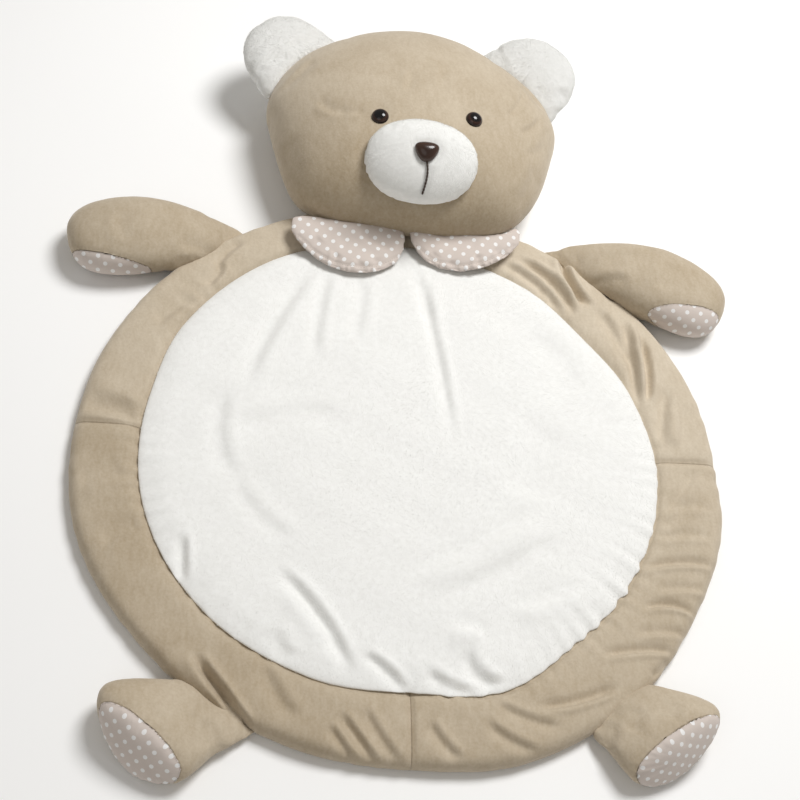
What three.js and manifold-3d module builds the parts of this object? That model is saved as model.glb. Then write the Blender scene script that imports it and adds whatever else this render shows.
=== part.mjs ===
// Bear shaped rug for a nursery floor: a round padded mat with a stuffed head, ears, arms and feet.
// Millimetres, +Z up, +Y toward the head, origin under the middle of the mat's flat underside.
import * as THREE from 'three';
import { mergeVertices } from 'three/addons/utils/BufferGeometryUtils.js';
import Module from 'manifold-3d';

const wasm = await Module();
wasm.setup();

// Driving dimensions
const GAP = 0.3;
const CLOTH_CLEARANCE = 0.5;
const MAT_RADIUS = 400;
const SEAM_HEIGHT = 21;
const BORDER_CROWN = 29;
const CENTRE_CROWN = 31;
const PANEL_SEAMS = { right: 2, left: 179.5, bottom: 270.8 };
const HEAD = { x: 2, y: 500, halfWidth: 206, topLength: 177, chinLength: 172 };
const HEAD_HEIGHTS = { waist: 62, crown: 156, poleY: 455 };
const HEAD_SQUARENESS = { top: 1.75, chin: 5.4 };
const NECK_TAPER = 0.21;
const EAR = { halfWidth: 76, halfLength: 82, halfThick: 19, lean: 20 };
const MUZZLE = { x: 4, y: 374, z: 131, halfWidth: 78, halfLength: 57, halfThick: 34, lean: 32 };
const EYE = { radius: 11.5, dome: 8 };
const NOSE = { halfWidth: 14.5, halfLength: 13, dome: 9 };
const MOUTH_THICK = 3.6;
const COLLAR = { halfSpan: 79, lowerBulge: 60, upperBulge: 26, thick: 13 };
const SOLE_SEAM = { z: 32, lift: 36, bulge: 11, round: 240 };

// Small geometry kit: every body is a skin over rings of points, closed by a point at each end
const TURN = 2 * Math.PI;
const rad = (degrees) => degrees * Math.PI / 180;
const mix = (a, b, t) => a + (b - a) * t;
const smooth = (t) => {
  const c = Math.min(1, Math.max(0, t));
  return c * c * (3 - 2 * c);
};
const signedPower = (value, power) => Math.sign(value) * Math.abs(value) ** power;

function skin(rings, startPoint, endPoint) {
  const count = rings[0].length;
  const points = [startPoint, ...rings.flat(), endPoint];
  const last = points.length - 1;
  const at = (ring, k) => 1 + ring * count + (k % count);
  const faces = [];
  for (let k = 0; k < count; k += 1) {
    faces.push([0, at(0, k), at(0, k + 1)]);
    for (let ring = 0; ring + 1 < rings.length; ring += 1) {
      faces.push([at(ring, k), at(ring + 1, k), at(ring + 1, k + 1)]);
      faces.push([at(ring, k), at(ring + 1, k + 1), at(ring, k + 1)]);
    }
    faces.push([last, at(rings.length - 1, k + 1), at(rings.length - 1, k)]);
  }
  let volume = 0;
  for (const [a, b, c] of faces) {
    const [p, q, r] = [points[a], points[b], points[c]];
    volume += p[0] * (q[1] * r[2] - q[2] * r[1]) - p[1] * (q[0] * r[2] - q[2] * r[0])
      + p[2] * (q[0] * r[1] - q[1] * r[0]);
  }
  const outward = volume > 0 ? faces : faces.map(([a, b, c]) => [a, c, b]);
  return new wasm.Manifold(new wasm.Mesh({
    numProp: 3,
    vertProperties: new Float32Array(points.flat()),
    triVerts: new Uint32Array(outward.flat()),
  }));
}

function ringOf(count, pointAt) {
  return Array.from({ length: count }, (_, k) => pointAt(TURN * k / count));
}

// A lens-like pillow: outline(angle) gives [u, v] in its own plane, place(u, v, w) sets it in the world
function pillow({ outline, place, top, bottom, sides, rings, full }) {
  const shells = [];
  for (let k = 1; k <= rings; k += 1) shells.push([Math.sin(Math.PI / 2 * k / rings), top]);
  for (let k = rings - 1; k >= 1; k -= 1) shells.push([Math.sin(Math.PI / 2 * k / rings), -bottom]);
  const loops = shells.map(([reach, height]) => ringOf(sides, (angle) => {
    const [u, v] = outline(angle);
    return place(u * reach, v * reach, height * (1 - reach ** full) ** (1 / 2));
  }));
  return skin(loops, place(0, 0, top), place(0, 0, -bottom));
}

// A plane frame at a point: u runs level, w is the facing direction (turn about Z, then lean back)
function frameAt(origin, facing, lean) {
  const turn = new THREE.Matrix4().makeRotationZ(rad(facing));
  const tilt = new THREE.Matrix4().makeRotationX(rad(lean));
  const matrix = turn.multiply(tilt);
  return (u, v, w) => {
    const p = new THREE.Vector3(u, v, w).applyMatrix4(matrix);
    return [origin[0] + p.x, origin[1] + p.y, origin[2] + p.z];
  };
}

// Folds in the mat: a trough (positive depth) or a ridge (negative) along a bowed line in plan
const FOLDS = [
  { name: 'collar trough left', from: [-118, 270], to: [-205, 66], bow: 8, width: 28, depth: 6 },
  { name: 'collar trough right', from: [9, 280], to: [56, 13], bow: -6, width: 26, depth: 5 },
  { name: 'left crease', from: [-222, 66], to: [-207, -64], bow: 14, width: 26, depth: 5 },
  { name: 'lower left crease', from: [-169, -150], to: [-66, -300], bow: -8, width: 24, depth: 7 },
  { name: 'bunched wrinkle', from: [62, -250], to: [104, -302], bow: 12, width: 22, depth: 7 },
  { name: 'raised middle', from: [0, -187], to: [175, -78], bow: 5, width: 30, depth: -4 },
  { name: 'border fold by collar', from: [214, 330], to: [252, 232], bow: 8, width: 18, depth: 9 },
  { name: 'border fold right', from: [318, 228], to: [306, 112], bow: -8, width: 18, depth: 7 },
  { name: 'border fold left', from: [-318, 8], to: [-392, 22], bow: 4, width: 18, depth: 5 },
  { name: 'fold by left foot', from: [-228, -290], to: [-166, -372], bow: -6, width: 18, depth: 9 },
  { name: 'bottom border fold', from: [-66, -345], to: [-28, -398], bow: 3, width: 16, depth: 7 },
  { name: 'gather lower right', from: [226, -258], to: [318, -238], bow: 3, width: 16, depth: 6 },
  { name: 'gather right', from: [262, -214], to: [352, -194], bow: 3, width: 16, depth: 5 },
  { name: 'fold by right foot', from: [168, -318], to: [270, -296], bow: 5, width: 17, depth: 8 },
];

function foldDepth(x, y) {
  let depth = 0;
  for (const fold of FOLDS) {
    const [dx, dy] = [fold.to[0] - fold.from[0], fold.to[1] - fold.from[1]];
    const length = Math.hypot(dx, dy);
    const along = ((x - fold.from[0]) * dx + (y - fold.from[1]) * dy) / length ** 2;
    const across = ((x - fold.from[0]) * dy - (y - fold.from[1]) * dx) / length;
    const offset = across - fold.bow * 4 * along * (1 - along);
    const fade = smooth(along / 0.2) * smooth((1 - along) / 0.2);
    depth += fold.depth * fade * Math.exp(-((offset / fold.width) ** 2));
  }
  return depth;
}

// Mat outline: radius of the seam round the centre and of the outer edge, by angle in degrees
const MAT_OUTLINE = [
  { angle: 0, seam: 316, edge: 398 }, { angle: 20, seam: 313, edge: 401 },
  { angle: 40, seam: 306, edge: 398 }, { angle: 60, seam: 314, edge: 390 },
  { angle: 90, seam: 319, edge: 385 }, { angle: 120, seam: 327, edge: 386 },
  { angle: 150, seam: 324, edge: 392 }, { angle: 170, seam: 317, edge: 396 },
  { angle: 200, seam: 321, edge: 404 }, { angle: 225, seam: 320, edge: 397 },
  { angle: 250, seam: 315, edge: 394 }, { angle: 270, seam: 307, edge: 392 },
  { angle: 290, seam: 319, edge: 402 }, { angle: 310, seam: 307, edge: 402 },
  { angle: 330, seam: 309, edge: 398 }, { angle: 350, seam: 314, edge: 403 },
];
function matRadius(column, angle) {
  const degrees = ((angle / TURN) * 360 % 360 + 360) % 360;
  const upper = MAT_OUTLINE.findIndex((row) => row.angle > degrees);
  const low = MAT_OUTLINE.at(upper === -1 ? -1 : upper - 1);
  const high = upper === -1 ? { ...MAT_OUTLINE[0], angle: 360 } : MAT_OUTLINE[upper];
  return mix(low[column], high[column], smooth((degrees - low.angle) / (high.angle - low.angle)));
}

// White centre of the mat
const CENTRE_RINGS = [
  { reach: 0.13, rise: 1 }, { reach: 0.26, rise: 1 }, { reach: 0.37, rise: 1 }, { reach: 0.47, rise: 1 },
  { reach: 0.56, rise: 1 }, { reach: 0.64, rise: 1 }, { reach: 0.72, rise: 1 }, { reach: 0.79, rise: 1 },
  { reach: 0.86, rise: 0.98 }, { reach: 0.92, rise: 0.9 },
  { reach: 0.965, rise: 0.66 }, { reach: 1, rise: 0 },
];
function centreForm(grow) {
  const sides = 84;
  const edge = (angle) => matRadius('seam', angle) - GAP / 2 + grow;
  const loops = CENTRE_RINGS.map(({ reach, rise }) => ringOf(sides, (angle) => {
    const [x, y] = [Math.cos(angle) * reach * edge(angle), Math.sin(angle) * reach * edge(angle)];
    const crown = mix(SEAM_HEIGHT, CENTRE_CROWN, rise) - foldDepth(x, y) * Math.min(1, rise * 1.2);
    return [x, y, crown + grow];
  }));
  loops.push(ringOf(sides, (angle) => [Math.cos(angle) * edge(angle), Math.sin(angle) * edge(angle), 0]));
  return skin(loops, [0, 0, CENTRE_CROWN - foldDepth(0, 0) + grow], [0, 0, 0]);
}

// Border panels: a padded roll swept from one panel seam to the next
const BORDER_SECTION = [
  { across: 0, rise: 0 }, { across: 0, rise: SEAM_HEIGHT / BORDER_CROWN }, { across: 0.08, rise: 0.9 },
  { across: 0.22, rise: 0.98 }, { across: 0.46, rise: 1 }, { across: 0.7, rise: 0.98 },
  { across: 0.87, rise: 0.85 }, { across: 0.965, rise: 0.6 }, { across: 1, rise: 0.36 },
  { across: 0.975, rise: 0.12 }, { across: 0.92, rise: 0 }, { across: 0.45, rise: 0 },
];
function borderForm(fromDegrees, toDegrees, steps, grow) {
  const trim = (GAP / 2) / MAT_RADIUS;
  const [start, end] = [rad(fromDegrees) + trim, rad(toDegrees) - trim];
  const section = (angle) => {
    const inner = matRadius('seam', angle) + GAP / 2 - grow;
    const outer = matRadius('edge', angle) + grow;
    const fromSeam = Math.min(angle - start, end - angle) * MAT_RADIUS;
    const drawnIn = 6 * Math.exp(-((fromSeam / 16) ** 2));
    return BORDER_SECTION.map(({ across, rise }) => {
      const reach = mix(inner, outer, across);
      const [x, y] = [Math.cos(angle) * reach, Math.sin(angle) * reach];
      const top = across > 0.05 && across < 0.95 && rise > 0.5;
      const sink = top ? drawnIn + foldDepth(x, y) : 0;
      return [x, y, rise * BORDER_CROWN - sink + (rise > 0.3 ? grow : 0)];
    });
  };
  const sections = Array.from({ length: steps + 1 }, (_, k) => section(mix(start, end, k / steps)));
  const middle = (ring) => ring.reduce((sum, p) => sum.map((s, i) => s + p[i] / ring.length), [0, 0, 0]);
  return skin(sections, middle(sections[0]), middle(sections[steps]));
}

// Stuffed head: flat at the back, full over the face, drawn in at the neck
function headOutline(angle, grow) {
  const squareness = Math.sin(angle) < 0 ? HEAD_SQUARENESS.chin : HEAD_SQUARENESS.top;
  const u = signedPower(Math.cos(angle), 2 / squareness);
  const v = signedPower(Math.sin(angle), 2 / squareness);
  const taper = 1 - NECK_TAPER * Math.max(0, -v);
  const wander = 2.2 * Math.sin(3 * angle + 0.4) + 1.6 * Math.sin(5 * angle + 1.3);
  const [x, y] = [u * HEAD.halfWidth * taper, v * (v < 0 ? HEAD.chinLength : HEAD.topLength)];
  const stretch = 1 + (wander + grow) / Math.hypot(x, y);
  return [HEAD.x + x * stretch, HEAD.y + y * stretch];
}
const HEAD_RINGS = [
  { reach: 0.16, level: 0.99 }, { reach: 0.32, level: 0.95 }, { reach: 0.47, level: 0.885 },
  { reach: 0.6, level: 0.8 }, { reach: 0.72, level: 0.69 }, { reach: 0.82, level: 0.56 },
  { reach: 0.9, level: 0.41 }, { reach: 0.96, level: 0.24 }, { reach: 1, level: 0 },
  { reach: 0.985, level: -0.35 }, { reach: 0.93, level: -0.68 }, { reach: 0.84, level: -0.92 },
  { reach: 0.74, level: -1 },
];
function headForm(grow) {
  const rise = HEAD_HEIGHTS.crown - HEAD_HEIGHTS.waist;
  const loops = HEAD_RINGS.map(({ reach, level }) => ringOf(52, (angle) => {
    const [x, y] = headOutline(angle, grow);
    const height = level >= 0 ? HEAD_HEIGHTS.waist + rise * level + grow : HEAD_HEIGHTS.waist * (1 + level);
    return [mix(HEAD.x, x, reach), mix(HEAD_HEIGHTS.poleY, y, reach), height];
  }));
  const top = [HEAD.x, HEAD_HEIGHTS.poleY, HEAD_HEIGHTS.crown + grow];
  return skin(loops, top, [HEAD.x, HEAD_HEIGHTS.poleY, 0]);
}

// Face: muzzle, eyes, nose and mouth thread
const ovalOutline = (halfWidth, halfLength, squareness) => (angle) => [
  halfWidth * signedPower(Math.cos(angle), 2 / squareness),
  halfLength * signedPower(Math.sin(angle), 2 / squareness),
];
function muzzleForm(grow) {
  return pillow({
    outline: ovalOutline(MUZZLE.halfWidth + grow, MUZZLE.halfLength + grow, 2.15),
    place: frameAt([MUZZLE.x, MUZZLE.y, MUZZLE.z], 0, MUZZLE.lean),
    top: MUZZLE.halfThick + grow, bottom: 18, sides: 36, rings: 6, full: 2.4,
  });
}
const EYES = {
  left: { at: [-53, 429, 149.5], facing: -45, lean: 14 },
  right: { at: [73, 443, 149], facing: 61, lean: 13 },
};
function eyeForm({ at, facing, lean }) {
  return pillow({
    outline: ovalOutline(EYE.radius, EYE.radius, 2), place: frameAt(at, facing, lean),
    top: EYE.dome, bottom: 6, sides: 16, rings: 4, full: 2,
  });
}
function noseForm() {
  const outline = (angle) => {
    const [u, v] = ovalOutline(NOSE.halfWidth, NOSE.halfLength, 2.5)(angle);
    return [u * (1 + 0.28 * v / NOSE.halfLength), v];
  };
  return pillow({
    outline, place: frameAt([6, 362, 163.5], 0, 30), top: NOSE.dome, bottom: 6,
    sides: 20, rings: 4, full: 2.2,
  });
}
const MOUTH_PATH = [
  { x: 7.3, y: 349.4, z: 156.6 }, { x: 8.8, y: 342.4, z: 152.2 }, { x: 8.7, y: 335, z: 145.2 },
  { x: 7.5, y: 328.2, z: 136.8 }, { x: 6.2, y: 323.5, z: 127.8 },
];
function mouthForm() {
  const half = MOUTH_THICK / 2;
  const loops = MOUTH_PATH.map(({ x, y, z }) => ringOf(8, (angle) => [
    x + half * Math.cos(angle), y + half * Math.sin(angle) * 0.75, z + half * Math.sin(angle) * 1.1,
  ]));
  const [first, last] = [MOUTH_PATH[0], MOUTH_PATH.at(-1)];
  return skin(loops, [first.x, first.y + 1, first.z + 2], [last.x, last.y, last.z - 3]);
}

// Ears: half-round pillows set into the upper corners of the head
const EARS = {
  left: { at: [-162, 592, 69], facing: 50 },
  right: { at: [163, 604, 69], facing: -47 },
};
function earForm({ at, facing }) {
  return pillow({
    outline: ovalOutline(EAR.halfWidth, EAR.halfLength, 2.2), place: frameAt(at, facing, EAR.lean),
    top: EAR.halfThick, bottom: EAR.halfThick, sides: 30, rings: 5, full: 2.6,
  });
}

// Collar: two half-moon leaves under the chin, pointed at the outer end and round at the inner end
const COLLARS = {
  left: { at: [-80, 312], facing: 2, lift: 37, outer: -1 },
  right: { at: [78, 331], facing: -1, lift: 38, outer: 1 },
};
function collarForm({ at, facing, lift, outer }) {
  const outline = (angle) => {
    const [across, up] = [Math.cos(angle), Math.sin(angle)];
    if (up >= 0) {
      return [COLLAR.halfSpan * signedPower(across, 0.4), COLLAR.upperBulge * signedPower(up, 0.4)];
    }
    const inward = -0.12 * outer * COLLAR.halfSpan * up * up;
    const drop = across * outer > 0 ? 1.6 : 0.95;
    return [COLLAR.halfSpan * across + inward, COLLAR.lowerBulge * signedPower(up, drop)];
  };
  const turn = frameAt([at[0], at[1], 0], facing, 0);
  const place = (u, v, w) => {
    const [x, y] = turn(u, v, 0);
    return [x, y, lift + w + 0.16 * Math.max(0, v + COLLAR.lowerBulge) + 2 * Math.sin(u / 17 + 0.6)];
  };
  return pillow({
    outline, place, top: COLLAR.thick / 2, bottom: COLLAR.thick / 2, sides: 36, rings: 4, full: 6,
  });
}

// Limbs: lofts of oval sections along a bent spine, flat where they lie on the floor
function limbForm(stations, sides) {
  const loops = stations.map(({ x, y, z, halfWidth, halfHeight }, k) => {
    const [back, next] = [stations[Math.max(0, k - 1)], stations[Math.min(stations.length - 1, k + 1)]];
    const run = Math.hypot(next.x - back.x, next.y - back.y);
    const side = [-(next.y - back.y) / run, (next.x - back.x) / run];
    return ringOf(sides, (angle) => {
      const across = halfWidth * signedPower(Math.cos(angle), 0.9);
      const height = z + halfHeight * signedPower(Math.sin(angle), 0.9);
      return [x + side[0] * across, y + side[1] * across, Math.max(0, height)];
    });
  });
  const [first, last] = [stations[0], stations.at(-1)];
  return skin(loops, [first.x, first.y, first.z], [last.x + last.tipX, last.y + last.tipY, last.z]);
}
const ARM_STATIONS = [
  { x: 188, y: 304, z: 9, halfWidth: 17, halfHeight: 7 },
  { x: 214, y: 305, z: 11, halfWidth: 22, halfHeight: 9 },
  { x: 240, y: 303, z: 15, halfWidth: 32, halfHeight: 13 },
  { x: 272, y: 300, z: 23, halfWidth: 41, halfHeight: 22 },
  { x: 308, y: 295, z: 30, halfWidth: 50, halfHeight: 30 },
  { x: 344, y: 289, z: 33, halfWidth: 57, halfHeight: 34 },
  { x: 378, y: 283, z: 33, halfWidth: 57, halfHeight: 34 },
  { x: 407, y: 277, z: 32, halfWidth: 52, halfHeight: 31 },
  { x: 425, y: 272, z: 31, halfWidth: 42, halfHeight: 26 },
  { x: 435, y: 269, z: 31, halfWidth: 27, halfHeight: 17, tipX: 4, tipY: -1 },
];
function armForm(sign, droop) {
  const stations = ARM_STATIONS.map((row) => ({
    ...row,
    x: sign * (row.x - 7 * droop),
    y: row.y + droop * (24 - 16 * smooth((row.x - 230) / 90) - 32 * smooth((row.x - 300) / 150)),
    tipX: sign * (row.tipX ?? 0),
  }));
  return limbForm(stations, 24);
}
const PADS = {
  left: { at: [-390, 244, 30], normal: [-0.14, -0.94, -0.3] },
  right: { at: [375, 238, 58], normal: [0, -0.97, 0.24] },
};
const FOOT_STATIONS = [
  { along: -36, halfWidth: 40, halfHeight: 8, z: 9 },
  { along: 0, halfWidth: 43, halfHeight: 10, z: 11 },
  { along: 24, halfWidth: 49, halfHeight: 14, z: 15 },
  { along: 50, halfWidth: 56, halfHeight: 21, z: 21 },
  { along: 80, halfWidth: 65, halfHeight: 28, z: 28 },
  { along: 103, halfWidth: 69, halfHeight: 30, z: 31 },
  { along: 113, halfWidth: 64, halfHeight: 27, z: 32 },
  { along: 120, halfWidth: 52, halfHeight: 21, z: 32 },
  { along: 124, halfWidth: 35, halfHeight: 13, z: 32 },
];
const FEET = {
  left: { root: [-200, -338], heading: 206, soleHeading: 239, soleReach: 102 },
  right: { root: [225, -303], heading: 324, soleHeading: 299, soleReach: 99 },
};
function soleSeam({ root, heading, soleHeading, soleReach }) {
  const [turn, facing, lift] = [rad(heading), rad(soleHeading), rad(SOLE_SEAM.lift)];
  const point = [root[0] + Math.cos(turn) * soleReach, root[1] + Math.sin(turn) * soleReach, SOLE_SEAM.z];
  const level = Math.cos(lift);
  return [point, [Math.cos(facing) * level, Math.sin(facing) * level, Math.sin(lift)]];
}

// A large ball whose near side is the shallow dome of the sole
function soleDome(foot) {
  const { bulge, round } = SOLE_SEAM;
  const [point, normal] = soleSeam(foot);
  const way = new THREE.Vector3(...normal).normalize();
  const turn = new THREE.Quaternion().setFromUnitVectors(new THREE.Vector3(0, 0, 1), way);
  const centre = new THREE.Vector3(...point).addScaledVector(way, bulge - round);
  return pillow({
    outline: (angle) => [round * Math.cos(angle), round * Math.sin(angle)],
    place: (u, v, w) => new THREE.Vector3(u, v, w).applyQuaternion(turn).add(centre).toArray(),
    top: round, bottom: round, sides: 40, rings: 24, full: 2,
  });
}

function footForm(foot) {
  const [dx, dy] = [Math.cos(rad(foot.heading)), Math.sin(rad(foot.heading))];
  const stations = FOOT_STATIONS.map(({ along, ...size }) => ({
    ...size, x: foot.root[0] + dx * along, y: foot.root[1] + dy * along, tipX: dx * 4, tipY: dy * 4,
  }));
  return limbForm(stations, 28).intersect(soleDome(foot));
}

// Parts a solid at a plane, leaving the gap between the two sides: [far side, near side]
function halfSpace(point, normal, offset) {
  const size = 600;
  const way = new THREE.Vector3(...normal).normalize();
  const box = new THREE.BoxGeometry(size, size, size);
  box.translate(0, 0, size / 2 + offset);
  box.applyQuaternion(new THREE.Quaternion().setFromUnitVectors(new THREE.Vector3(0, 0, 1), way));
  box.translate(...point);
  box.deleteAttribute('normal');
  box.deleteAttribute('uv');
  const merged = mergeVertices(box);
  return new wasm.Manifold(new wasm.Mesh({
    numProp: 3,
    vertProperties: new Float32Array(merged.attributes.position.array),
    triVerts: new Uint32Array(merged.index.array),
  }));
}
function partAt(solid, point, normal) {
  const far = solid.intersect(halfSpace(point, normal, GAP / 2));
  const near = solid.subtract(halfSpace(point, normal, -GAP / 2));
  return [far, near];
}

// Assembly
const { right: seamRight, left: seamLeft, bottom: seamBottom } = PANEL_SEAMS;
const centre = centreForm(0);
const borderUpper = borderForm(seamRight, seamLeft, 58, 0);
const borderLowerLeft = borderForm(seamLeft, seamBottom, 30, 0);
const borderLowerRight = borderForm(seamBottom, 360 + seamRight, 30, 0);
const borderKeepOff = [
  borderForm(seamRight, seamLeft, 58, CLOTH_CLEARANCE),
  borderForm(seamLeft, seamBottom, 30, CLOTH_CLEARANCE),
  borderForm(seamBottom, 360 + seamRight, 30, CLOTH_CLEARANCE),
];
const centreKeepOff = centreForm(CLOTH_CLEARANCE);
const headKeepOff = headForm(GAP);
const muzzleKeepOff = muzzleForm(GAP);

const without = (solid, others) => others.reduce((left, other) => left.subtract(other), solid);

const head = without(headForm(0), borderKeepOff);
const muzzle = muzzleForm(0).subtract(headKeepOff);
const nose = noseForm().subtract(muzzleKeepOff);
const mouth = without(mouthForm(), [muzzleKeepOff, nose]);

const pieces = [];
const add = (name, solid, colour, roughness) => pieces.push({ name, solid, colour, roughness });

const BEIGE = 0xc8b999;
const WHITE = 0xf0efea;
const DOTTED = 0xd6c8be;
const DARK = 0x33241f;

add('mat_centre', centre, WHITE, 0.95);
add('border_upper', borderUpper, BEIGE, 0.9);
add('border_lower_left', borderLowerLeft, BEIGE, 0.9);
add('border_lower_right', borderLowerRight, BEIGE, 0.9);
add('head', head, BEIGE, 0.9);
add('muzzle', muzzle, WHITE, 0.95);
add('nose', nose, DARK, 0.25);
add('mouth_stitch', mouth, DARK, 0.8);
for (const side of ['left', 'right']) {
  const sign = side === 'left' ? -1 : 1;
  add(`ear_${side}`, earForm(EARS[side]).subtract(headKeepOff), WHITE, 0.95);
  add(`eye_${side}`, eyeForm(EYES[side]).subtract(headKeepOff), DARK, 0.15);
  const collarOff = [headKeepOff, centreKeepOff, ...borderKeepOff];
  add(`collar_${side}`, without(collarForm(COLLARS[side]), collarOff), DOTTED, 0.9);
  const limb = without(armForm(sign, side === 'left' ? 0 : 1), [headKeepOff, ...borderKeepOff]);
  const [pad, arm] = partAt(limb, PADS[side].at, PADS[side].normal);
  add(`arm_${side}`, arm, BEIGE, 0.9);
  add(`paw_pad_${side}`, pad, DOTTED, 0.9);
  const [sole, foot] = partAt(without(footForm(FEET[side]), borderKeepOff), ...soleSeam(FEET[side]));
  add(`foot_${side}`, foot, BEIGE, 0.9);
  add(`sole_${side}`, sole, DOTTED, 0.9);
}

const group = new THREE.Group();
group.name = 'bear_rug';
for (const { name, solid, colour, roughness } of pieces) {
  const { vertProperties, triVerts } = solid.getMesh();
  const geometry = new THREE.BufferGeometry();
  geometry.setAttribute('position', new THREE.BufferAttribute(vertProperties, 3));
  geometry.setIndex(new THREE.BufferAttribute(triVerts, 1));
  const mesh = new THREE.Mesh(
    mergeVertices(geometry),
    new THREE.MeshStandardMaterial({ color: colour, roughness, metalness: 0 }),
  );
  mesh.name = name;
  group.add(mesh);
}
export default group;
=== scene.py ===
# Bear shaped rug for a nursery floor: each sewn piece is dressed over its own solid.
import math

import bmesh
import bpy
import numpy as np
from mathutils import Matrix, Vector
from mathutils.bvhtree import BVHTree


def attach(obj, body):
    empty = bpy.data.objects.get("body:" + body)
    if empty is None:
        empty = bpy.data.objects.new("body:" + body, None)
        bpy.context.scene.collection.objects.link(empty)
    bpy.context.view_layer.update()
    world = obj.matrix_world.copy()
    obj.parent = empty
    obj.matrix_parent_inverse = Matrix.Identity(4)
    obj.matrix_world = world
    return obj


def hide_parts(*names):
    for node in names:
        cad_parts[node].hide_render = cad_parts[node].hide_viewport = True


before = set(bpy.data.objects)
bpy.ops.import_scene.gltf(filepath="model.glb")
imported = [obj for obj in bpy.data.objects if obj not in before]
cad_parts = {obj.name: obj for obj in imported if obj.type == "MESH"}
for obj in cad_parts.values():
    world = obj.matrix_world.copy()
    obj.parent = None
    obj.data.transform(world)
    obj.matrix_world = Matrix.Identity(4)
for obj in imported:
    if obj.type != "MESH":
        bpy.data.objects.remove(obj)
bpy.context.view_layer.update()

# White plush centre of the mat
# A disc of short brushed plush over thin padding, seamed all round to the border. It lies slack, so
# it creases from the collar, down the left and along the bottom, and bulges over its seam there.
MM = 0.001
FLOOR_LIFT = 0.5 * MM
SEAM_HEIGHT = 21 * MM
CENTRE_CROWN = 31 * MM
CENTRE_SHOULDER = 34 * MM
SEAM_GAP = 0.05 * MM
PLUSH_OVERHANG = 6 * MM
BUMPY_SIDE = math.radians(-55)
# Waves round the mat, and their wander
CENTRE_GATHERS = (74, 0.6)

# Angle in degrees, radius of the seam round the centre, radius of the mat's outer edge, in mm
MAT_OUTLINE = np.array([
    (0, 316, 398), (20, 313, 401), (40, 306, 398), (60, 314, 390),
    (90, 319, 385), (120, 327, 386), (150, 324, 392), (170, 317, 396),
    (200, 321, 404), (225, 320, 397), (250, 315, 394), (270, 307, 392),
    (290, 319, 402), (310, 307, 402), (330, 309, 398), (350, 314, 403),
    (360, 316, 398),
])
SEAM, EDGE = 1, 2

# A fold is steep and lipped on one side and gentle on the other, and it fades out at both ends.
GENTLE_SIDE = 1.6
LIP_HEIGHT = 0.45
LIP_OFFSET = 1.8
FOLD_FADE = 0.25
# Each fold in plan: start, end, sideways bow, width and depth (a ridge is negative), in mm
CENTRE_FOLDS = (
    (-118, 276, -205, 66, 8, 9, 4.5),
    (-100, 274, -119, 114, 4, 7, 3.2),
    (-60, 262, -72, 150, -5, 8, 2.4),
    (9, 290, 56, 13, -6, 6, 3.6),
    (28, 262, 34, 190, 3, 7, 2.4),
    (-222, 66, -207, -64, 14, 9, 3.0),
    (-218, 2, -70, 40, -10, 12, 2.2),
    (-207, -64, -130, -140, 9, 9, 2.2),
    (-154, -172, -62, -300, -11, 6, 6.5),
    (-140, -196, -84, -262, 6, 8, -2.6),
    (-53, -270, 0, -316, -5, 5, 5.5),
    (-259, -136, -255, -200, 0, 5, 5.0),
    (-150, -245, -128, -284, 5, 8, 2.6),
    (19, -284, 80, -308, 8, 6, 4.6),
    (66, -258, 107, -300, 12, 7, 6.0),
    (44, -246, 92, -250, -6, 9, -3.4),
    (0, -188, 175, -78, 6, 10, -3.6),
    (40, -196, 190, -104, 5, 9, 2.4),
    (118, -216, 216, -178, 4, 9, -3.0),
    (120, -60, 170, 60, 16, 22, 2.0),
    (150, 190, 220, 90, -14, 18, 2.4),
)


def smooth(share):
    return share * share * (3 - 2 * share)


def bell(reach, width):
    """1 on a line, fading to nothing over about twice the width on either side."""
    return np.exp(-((reach / width) ** 2))


def fading(reach, length):
    """1 at an edge, falling to about a third with each length away from it."""
    return np.exp(-reach / length)


def mat_radius(angle, column):
    degrees = np.degrees(angle) % 360
    row = np.clip(np.searchsorted(MAT_OUTLINE[:, 0], degrees, side="right") - 1, 0, len(MAT_OUTLINE) - 2)
    low = MAT_OUTLINE[row]
    high = MAT_OUTLINE[row + 1]
    share = smooth((degrees - low[..., 0]) / (high[..., 0] - low[..., 0]))
    return (low[..., column] * (1 - share) + high[..., column] * share) * MM


def fold_relief(x, y, folds):
    relief = np.zeros_like(x)
    for x0, y0, x1, y1, bow, width, depth in folds:
        run = np.array((x1 - x0, y1 - y0)) * MM
        length = np.linalg.norm(run)
        along = ((x - x0 * MM) * run[0] + (y - y0 * MM) * run[1]) / length**2
        across = ((x - x0 * MM) * run[1] - (y - y0 * MM) * run[0]) / length
        across = (across / MM - bow * 4 * along * (1 - along)) / width
        across = np.where(across > 0, across / GENTLE_SIDE, across)
        fade = smooth(np.clip(along / FOLD_FADE, 0, 1) * np.clip((1 - along) / FOLD_FADE, 0, 1))
        lip = LIP_HEIGHT * bell(across + LIP_OFFSET, 1)
        relief += depth * MM * fade * (lip - bell(across, 1))
    return relief


def gathers(angle, waves, wander):
    """Uneven ripples round an angle, strong in some places and nearly gone in others."""
    ripple = np.sin(waves * angle + 2.1 * np.sin(7 * angle + wander))
    ripple += 0.6 * np.sin(round(1.37 * waves) * angle + 1.9 * np.sin(5 * angle + 2 * wander))
    strength = 0.5 + 0.35 * np.sin(3 * angle + 2.2 + wander) + 0.25 * np.sin(8 * angle + 0.4 * wander)
    return ripple * np.clip(strength, 0.08, 1)


def slack_below(angle):
    """How far the plush has slid over its seam: full at the foot of the mat, nothing at the head."""
    return np.clip(0.5 - 0.9 * np.sin(angle), 0, 1)


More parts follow.
